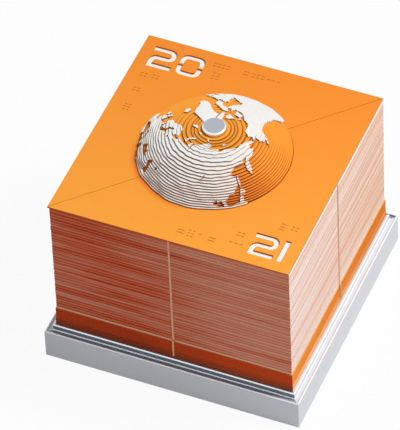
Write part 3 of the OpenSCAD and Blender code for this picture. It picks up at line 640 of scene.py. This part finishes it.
def sided_paper(name, face, quick_edge, slow_edge, quick_streak, slow_streak, rough=0.85, gloss=0.1):
    material, tree, shader, place = start_material(name)
    quick_stain = smoke_stain(tree, place, QUICK_LEAN, QUICK_REACH, quick_streak)
    slow_stain = smoke_stain(tree, place, SLOW_LEAN, SLOW_REACH, slow_streak, SLOW_END)
    quick_light_shade = add(tree, "ShaderNodeMix", {"Factor": quick_stain.outputs[0], "A": colour(quick_edge[0]),
                                            "B": colour(quick_edge[1])}, data_type="RGBA")
    slow_light_shade = add(tree, "ShaderNodeMix", {"Factor": slow_stain.outputs[0], "A": colour(slow_edge[0]),
                                             "B": colour(slow_edge[1])}, data_type="RGBA")
    facing = add(tree, "ShaderNodeSeparateXYZ", {0: place.outputs["Normal"]})
    across = add(tree, "ShaderNodeMath", {0: facing.outputs["Y"]}, operation="ABSOLUTE")
    is_slow = add(tree, "ShaderNodeMath", {0: across.outputs[0], 1: SIDE_TURN}, operation="GREATER_THAN")
    # Front and back edges take the slow colours and right and left the quick ones, as painted light and
    # shade
    edges = add(tree, "ShaderNodeMix", {"Factor": is_slow.outputs[0], "A": quick_light_shade.outputs["Result"],
                                        "B": slow_light_shade.outputs["Result"]}, data_type="RGBA")
    fibre = fibres(tree, place)
    finish_paper(tree, shader, place, fibre, colour(face), edges.outputs["Result"], rough, gloss)
    return material


print("front and back from a turn of", SIDE_TURN)

# %% Boards and leaves
# Greyboard and leaves are matt, and their edges show long faint streaks.
# Length and height of a streak, in millimetres
BOARD_STREAK = (30, 0.5)
LEAF_STREAK = (70, 1.6)
LEAF_SLOW_STREAK = (34, 2.6)
# On boards and leaves the front and back colours are darker and redder, a painted shade, and the right and
# left paler, a painted light
dyed_board = sided_paper("dyed_greyboard", "#f2993d", ("#fd9c3c", "#e0741f"), ("#e2501f", "#ce4720"),
                         BOARD_STREAK, BOARD_STREAK)
# The lower board is painted darker than the upper one on front and back, a painted shade near the deck, and
# paler on right and left, a painted light
lower_board_painted_shade = sided_paper("lower_greyboard_painted_light_shade", "#f2993d", ("#fbc79c", "#e08c44"), ("#bc542c", "#9d3f24"),
                           BOARD_STREAK, BOARD_STREAK)
orange_leaf = sided_paper("orange_leaf_paper", "#f89c3e", ("#f4d0c2", "#e6aa8a"), ("#ec8b6f", "#cd4121"),
                          LEAF_STREAK, LEAF_SLOW_STREAK)
white_leaf = sided_paper("white_leaf_paper", "#f8f5ef", ("#fdf3ee", "#f1d0ba"), ("#f9b193", "#f0784e"),
                         LEAF_STREAK, LEAF_SLOW_STREAK)
title_leaf = sided_paper("white_title_paper", "#f8f5ef", ("#fbf6f1", "#f8ece2"), ("#f39d80", "#dd5a34"),
                         LEAF_STREAK, LEAF_SLOW_STREAK)
print("made", dyed_board.name, lower_board_painted_shade.name, orange_leaf.name, white_leaf.name, title_leaf.name)

# %% [markdown]
# ## Finishes on the solids
#
# The solids of base, boards, globe and cap have the right shape already, so they only get their
# materials. Their meshes stay as they were packed.

# %% Put each finish on its solids
finishes = {"tray": silver_abs, "deck": silver_abs, "bottom_cover": dark_abs, "rubber_feet": rubber,
            "cover_screws": zinc_steel, "spindle": zinc_steel, "spindle_nut": zinc_steel,
            "pole_cap": turned_aluminium, "lower_board": lower_board_painted_shade, "upper_board": dyed_board,
            "white_card": backing_card, "plinth": sea_paper}
for name in solids:
    if "_sea_" in name:
        finishes[name] = sea_paper
    elif "_land_" in name:
        finishes[name] = land_paper
for name, finish in finishes.items():
    solids[name].data.materials.clear()
    solids[name].data.materials.append(finish)
print("finished", len(finishes), "solids")

# %% [markdown]
# ## The leaves
#
# Each half month is a stack of half leaves, orange and white by turns, with a round notch that
# lets the globe through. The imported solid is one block, so it is replaced by real thin sheets:
# they catch the light as paper edges do and can be told apart when a half month is drawn out.
# With about twenty leaves to a month, a real leaf is about 0.2 mm thick. The sheets are drawn about
# 0.75 mm thick, so that the stripes show.
# The back half is the front half turned about the middle of the block, so one outline serves for
# both, and a sign says which half it is.

# %% Shape of one half leaf
SIDES = {"front": 1, "back": -1}
DIAGONAL = math.radians(45)
PAD_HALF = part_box("december_front")[1].x
SLIT = 0.16 * MM
NOTCH_POINTS = 41
# The globe's hills rise by RELIEF, and a notch clears the widest step within STEP_REACH by NOTCH_GAP
RELIEF = 0.6 * MM
NOTCH_GAP = 0.25 * MM
STEP_REACH = 0.84 * MM
PLINTH_R = 21 * MM
PLINTH_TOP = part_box("plinth")[1].z


def globe_radius(z):
    share = (z - EQUATOR_Z) / (GLOBE_V + RELIEF)
    return (GLOBE_R + RELIEF) * math.sqrt(max(0.0, 1 - share * share))


def notch_radius(low, high):
    nearest = min(max(EQUATOR_Z, low - STEP_REACH), high + STEP_REACH)
    foot = PLINTH_R if low < PLINTH_TOP else 0.0
    return max(globe_radius(nearest), foot) + NOTCH_GAP


def half_leaf(sign, radius):
    middle = Vector((GLOBE_AT.x, GLOBE_AT.y)) * sign
    off = (middle.x - middle.y) / math.sqrt(2)
    lean = math.asin((SLIT / 2 - off) / radius)
    start = DIAGONAL - lean
    sweep = math.pi - 2 * lean
    cut = SLIT / math.sqrt(2)
    outline = [(cut - PAD_HALF, -PAD_HALF), (PAD_HALF, -PAD_HALF), (PAD_HALF, PAD_HALF - cut)]
    for i in range(NOTCH_POINTS):
        angle = start - sweep * i / (NOTCH_POINTS - 1)
        outline.append((middle.x + radius * math.cos(angle), middle.y + radius * math.sin(angle)))
    return [(sign * x, sign * y) for x, y in outline]


print("pad", round(2 * PAD_HALF / MM, 2), "mm wide")

# %% [markdown]
# ## Sheets and glue
#
# A prism is raised on each outline with bmesh. The fine line down the middle of each side is the
# bead of padding glue that holds the leaves together, half round and a little proud. It is another
# prism, on an outline with a round crown.

# %% Helpers for prisms
def raise_prism(mesh, outline, low, high, material_index):
    bottom = [mesh.verts.new((x, y, low)) for x, y in outline]
    top = [mesh.verts.new((x, y, high)) for x, y in outline]
    faces = [mesh.faces.new(list(reversed(bottom))), mesh.faces.new(top)]
    for i in range(len(outline)):
        j = (i + 1) % len(outline)
        faces.append(mesh.faces.new((bottom[i], bottom[j], top[j], top[i])))
    for face in faces:
        face.material_index = material_index


def add_piece(name, mesh, materials):
    data = bpy.data.meshes.new(name)
    mesh.to_mesh(data)
    mesh.free()
    for material in materials:
        data.materials.append(material)
    piece = bpy.data.objects.new(name, data)
    bpy.context.scene.collection.objects.link(piece)
    return piece


print("notch has", NOTCH_POINTS, "points")

# %% Beads of padding glue
BEAD_WIDE = 0.85 * MM
BEAD_PROUD = 0.34 * MM
BEAD_SUNK = 0.40 * MM
BEAD_POINTS = 7
# On the right and left sides the bead lies this far off the middle
BEAD_ASIDE = 0.55 * MM
# Length and height of a streak, in millimetres
GLUE_STREAK = (8, 1.2)
# Set glue is smoother than paper, so it catches the light
GLUE_ROUGH = 0.35
GLUE_GLOSS = 1.0

# On the glue the front and back sides are painted lighter, a painted highlight, and right and left darker, a
# painted shade
padding_glue = sided_paper("padding_glue", "#f0c3ae", ("#d8ae90", "#c99c7c"), ("#ffb684", "#ffa873"),
                           GLUE_STREAK, GLUE_STREAK, GLUE_ROUGH, GLUE_GLOSS)


def bead_outlines(sign, half):
    wide = BEAD_WIDE / 2
    crown = []
    for i in range(BEAD_POINTS):
        angle = math.pi * i / (BEAD_POINTS - 1)
        crown.append((-wide * math.cos(angle), half + BEAD_PROUD * math.sin(angle)))
    profile = crown + [(wide, half - BEAD_SUNK), (-wide, half - BEAD_SUNK)]
    on_y = [(along, -out) for along, out in profile]
    on_x = [(out, along + sign * BEAD_ASIDE) for along, out in profile]
    return [[(sign * x, sign * y) for x, y in bead] for bead in (on_y, on_x)]


print("bead", BEAD_WIDE / MM, "mm wide,", BEAD_PROUD / MM, "mm proud")

# %% [markdown]
# ## Stacks of leaves
#
# Hand-made stacks are never quite even or flush, so every sheet gets its own thickness and is
# shifted by a few hundredths of a millimetre, from a seeded draw. A few stray ones stick out further
# and catch the light. An Array modifier would be quicker, but its sheets are all alike.

# %% Build the half months
MONTHS = ["january", "february", "march", "april", "may", "june",
          "july", "august", "september", "october", "november", "december"]
SHEETS = 6
SHEET_AIR = 0.03 * MM
# Thicknesses as shares of the middle one
THINNEST = 0.55
THICKEST = 1.45
SHIFT = 0.05 * MM
STRAY_SHARE = 0.03
STRAY_OUT = 0.30 * MM
TITLE_SHEETS = 2
# White and orange leaves come first in the list, because a sheet's number, odd or even, picks one of them
LEAF_FINISHES = [white_leaf, orange_leaf, title_leaf, padding_glue]
TITLE = LEAF_FINISHES.index(title_leaf)
GLUE = LEAF_FINISHES.index(padding_glue)
SEED = 21
draw = random.Random(SEED)

for number, month in enumerate(MONTHS):
    for side, sign in SIDES.items():
        node = month + "_" + side
        low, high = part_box(node)
        shares = [draw.uniform(THINNEST, THICKEST) for k in range(SHEETS)]
        thick = [(high.z - low.z) * share / sum(shares) for share in shares]
        stack = bmesh.new()
        bottom = low.z
        for k in range(SHEETS):
            from_top = number * SHEETS + SHEETS - 1 - k
            top = bottom + thick[k] - SHEET_AIR
            shift = Vector((draw.uniform(-SHIFT, SHIFT), draw.uniform(-SHIFT, SHIFT)))
            if draw.random() < STRAY_SHARE:
                shift += Vector((sign, -sign)) * STRAY_OUT
            kind = TITLE if from_top < TITLE_SHEETS else from_top % 2
            outline = [(x + shift.x, y + shift.y) for x, y in half_leaf(sign, notch_radius(bottom, top))]
            raise_prism(stack, outline, bottom, top, kind)
            bottom += thick[k]
        for bead in bead_outlines(sign, PAD_HALF):
            raise_prism(stack, bead, low.z, high.z - SHEET_AIR, GLUE)
        leaves = add_piece("leaves_" + node, stack, LEAF_FINISHES)
        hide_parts(node)
        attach(leaves, node)
print("leaves", len(SIDES) * len(MONTHS), "half months of", SHEETS, "sheets")

# %% [markdown]
# ## Glue on the boards
#
# The bead runs on down over the backing card and the orange boards, and ends a little above the foot
# of the lower one, on all four sides. It is thin trim, so it is added here and rides on the stand.
# The glue there has aged to a deeper yellow than between the leaves.

# %% Ends of the glue beads
BEAD_FOOT = 1.1 * MM
# As between the leaves, its front and back sides are painted lighter, a painted highlight, and right and
# left darker, a painted shade
aged_glue = sided_paper("aged_padding_glue", "#e2b56e", ("#d89a50", "#c58238"), ("#ffbe7c", "#f0a65c"),
                        GLUE_STREAK, GLUE_STREAK, GLUE_ROUGH, GLUE_GLOSS)
board_low, board_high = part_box("lower_board")
card_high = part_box("white_card")[1].z
tips = bmesh.new()
for sign in SIDES.values():
    for bead in bead_outlines(sign, board_high.x):
        raise_prism(tips, bead, board_low.z + BEAD_FOOT, card_high, 0)
bead_tips = add_piece("glue_tips", tips, [aged_glue])
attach(bead_tips, "stand")
print("glue tips from", round((board_low.z + BEAD_FOOT) / MM, 2), "to", round(card_high / MM, 2), "mm")

# %% [markdown]
# ## Numerals cut through the cover
#
# The cover has year numerals cut right through, so that the white leaf under it shows. A stencil
# letter is a line of constant width with rounded turns. So each numeral is a short path, its turns
# are rounded, and the path is offset to both sides. A font would be quicker, but has no stencil
# bridges.

# %% From a path to a stencil stroke
TURN_POINTS = 7


def rounded(path, radii):
    line = [Vector(path[0])]
    for before, at, after, radius in zip(path, path[1:], path[2:], radii):
        a = (Vector(before) - Vector(at)).normalized()
        b = (Vector(after) - Vector(at)).normalized()
        if radius == 0:
            line.append(Vector(at))
            continue
        middle = Vector(at) + (a + b) * radius
        for i in range(TURN_POINTS):
            angle = math.pi / 2 * i / (TURN_POINTS - 1)
            line.append(middle - b * radius * math.cos(angle) - a * radius * math.sin(angle))
    line.append(Vector(path[-1]))
    return line


def stroke(path, radii, width):
    line = rounded(path, radii)
    left_side, right_side = [], []
    for i, point in enumerate(line):
        before = (point - line[i - 1]).normalized() if i > 0 else None
        after = (line[i + 1] - point).normalized() if i < len(line) - 1 else None
        before, after = before or after, after or before
        normal = Vector((-before.y - after.y, before.x + after.x)).normalized()
        reach = width / 2 / normal.dot(Vector((-before.y, before.x)))
        left_side.append(point + normal * reach)
        right_side.append(point - normal * reach)
    return right_side + left_side[::-1]


print("a turn has", TURN_POINTS, "points")

# %% Paths of the numerals
# All in millimetres. A path comes with the radius of each of its turns
WIDE = 9.8
TALL = 10.6
STROKE = 2.1
TURN = 1.9
BRIDGE = 0.7
EDGE = STROKE / 2
MID = TALL / 2

TWO = [([(0, TALL - EDGE), (WIDE - EDGE, TALL - EDGE), (WIDE - EDGE, MID), (EDGE, MID), (EDGE, EDGE),
         (WIDE, EDGE)], [TURN, TURN, TURN, 0])]
ZERO = [([(EDGE, MID + BRIDGE / 2), (EDGE, TALL - EDGE), (WIDE - EDGE, TALL - EDGE),
          (WIDE - EDGE, MID + BRIDGE / 2)], [TURN, TURN]),
        ([(WIDE - EDGE, MID - BRIDGE / 2), (WIDE - EDGE, EDGE), (EDGE, EDGE), (EDGE, MID - BRIDGE / 2)],
         [TURN, TURN])]
ONE = [([(EDGE, 0), (EDGE, TALL)], [])]
# Half of the cover, numeral, and place of its lower left corner
NUMERALS = [("back", TWO, (-42.4, 32.0)), ("back", ZERO, (-31.0, 32.0)),
            ("front", TWO, (28.8, -42.9)), ("front", ONE, (40.2, -42.9))]
print("numerals", len(NUMERALS))

# %% [markdown]
# ## Short slits in the cover
#
# Beside the numerals and along the edges the cover carries small rulings of short slits. They are
# plain rectangles in rows, so a ruling needs only a corner, its numbers of columns and rows, and a
# length. A slit is engraved, and its knife stops short of the back of the card.

# %% Rulings of slits
SLIT_WIDE = 0.42
SLIT_APART = 0.7
ROW_APART = 1.45
# Left end of the lowest row, slits in a row, rows, and length of a slit, in millimetres
RULINGS = {
    "back": [(-42.1, 26.2, 2, 2, 0.9), (-37.5, 26.5, 2, 2, 1.0), (-41.8, 18.2, 2, 2, 1.0),
             (-41.5, 7.9, 2, 3, 0.9), (-18.5, 40.3, 4, 2, 1.1), (-16.9, 34.0, 2, 3, 1.1),
             (-6.4, 40.1, 1, 2, 2.2), (-2.9, 40.0, 3, 2, 1.1), (3.0, 40.7, 3, 1, 1.3)],
    "front": [(1.3, -42.5, 1, 2, 2.6), (5.3, -43.0, 2, 3, 0.9), (9.3, -40.8, 1, 1, 1.2),
              (13.3, -42.3, 1, 2, 2.6), (22.3, -36.3, 2, 2, 1.1), (21.0, -40.2, 3, 1, 1.3),
              (35.7, -28.3, 1, 3, 1.7), (39.8, -27.0, 2, 2, 0.9)],
}
print("rulings", sum(len(groups) for groups in RULINGS.values()))

# %% Knives for numerals and slits
CUT_OVER = 1 * MM
ENGRAVED = 0.15 * MM


def numeral_shapes(side):
    shapes = []
    for half, strokes, (x, y) in NUMERALS:
        if half == side:
            shapes += [[(p.x + x, p.y + y) for p in stroke(path, radii, STROKE)] for path, radii in strokes]
    return shapes


def slit_shapes(side):
    shapes = []
    for x, y, columns, rows, length in RULINGS[side]:
        for i in range(columns * rows):
            left = x + i % columns * (length + SLIT_APART)
            near = y + i // columns * ROW_APART
            shapes.append([(left, near), (left + length, near), (left + length, near + SLIT_WIDE),
                           (left, near + SLIT_WIDE)])
    return shapes


def cover_knives(side, low, high):
    knives = bmesh.new()
    for shape in numeral_shapes(side):
        raise_prism(knives, [(x * MM, y * MM) for x, y in shape], low - CUT_OVER, high + CUT_OVER, 0)
    for shape in slit_shapes(side):
        raise_prism(knives, [(x * MM, y * MM) for x, y in shape], high - ENGRAVED, high + CUT_OVER, 1)
    return knives


print("slits", sum(len(slit_shapes(side)) for side in SIDES), "engraved", ENGRAVED / MM, "mm deep")

# %% [markdown]
# ## The cover
#
# The imported cover halves already follow the coast. A copy of each is welded, its two edges along the
# diagonal are drawn together until only the width of a knife cut is left, and the numerals are taken
# out of it with an exact Boolean, so the cuts are real walls with paper thickness. The slits come out
# in the same cut, and the browned finish of their knife stays on what it leaves.
# The sheet was laid on a little askew: it stands out past the leaves along the front, and on the left
# more and more towards the front.

# %% Cover card, and the sheet before it is cut
# Card is smoother than the leaves, and an engraved slit shows its browned inside
# The cover carries a painted gradient of light, lighter towards the front, and a painted red shadow beside
# the globe's front left; its front and back edges carry painted shade
cover_card = cut_paper("orange_cover_card", ("#f48d29", "#fea639"), ("#e0862e", "#c46a20"),
                       ("#d9682a", "#c0501c"), rough=0.7, light_gradient=True, painted_shades=[(painted_cover_shadow, PAINTED_SHADE_RED)])
browned_card = cut_paper("browned_cover_card", ("#e2933a", "#da852e"), ("#cc7a2a", "#ba6a20"),
                         ("#c06c24", "#aa581a"))
WELD = 0.001 * MM
# A corner this near to the diagonal, or to an outer edge, lies on it
PACKED_SLIT = 0.3 * MM
EDGE_NEAR = 0.3 * MM
OVERHANG = 0.55 * MM
ACROSS = Vector((1, -1, 0)).normalized()


def cover_blank(node):
    blank = bmesh.new()
    blank.from_mesh(solids[node].data)
    bmesh.ops.remove_doubles(blank, verts=blank.verts, dist=WELD)
    for vertex in blank.verts:
        off = vertex.co.dot(ACROSS)
        if abs(off) < PACKED_SLIT:
            vertex.co += ACROSS * (math.copysign(SLIT / 2, off) - off)
        near_share = (PAD_HALF - vertex.co.y) / (2 * PAD_HALF)
        if vertex.co.x < EDGE_NEAR - PAD_HALF:
            vertex.co.x -= OVERHANG * near_share
        if vertex.co.y < EDGE_NEAR - PAD_HALF:
            vertex.co.y -= OVERHANG
    return blank


print("made", cover_card.name, browned_card.name)

# %% Cut the covers
for side in SIDES:
    node = "cover_" + side
    low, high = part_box(node)
    cover = add_piece("cut_" + node, cover_blank(node), [cover_card, browned_card])
    knife = add_piece("knife_" + side, cover_knives(side, low.z, high.z), [cover_card, browned_card])
    cut = cover.modifiers.new("cut", "BOOLEAN")
    cut.operation = "DIFFERENCE"
    cut.solver = "EXACT"
    cut.object = knife
    bpy.context.view_layer.update()
    done = bpy.data.meshes.new_from_object(cover.evaluated_get(bpy.context.evaluated_depsgraph_get()))
    cover.modifiers.clear()
    cover.data = done
    bpy.data.objects.remove(knife)
    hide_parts(node)
    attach(cover, node)
    print(cover.name, "has", len(cover.data.polygons), "faces")
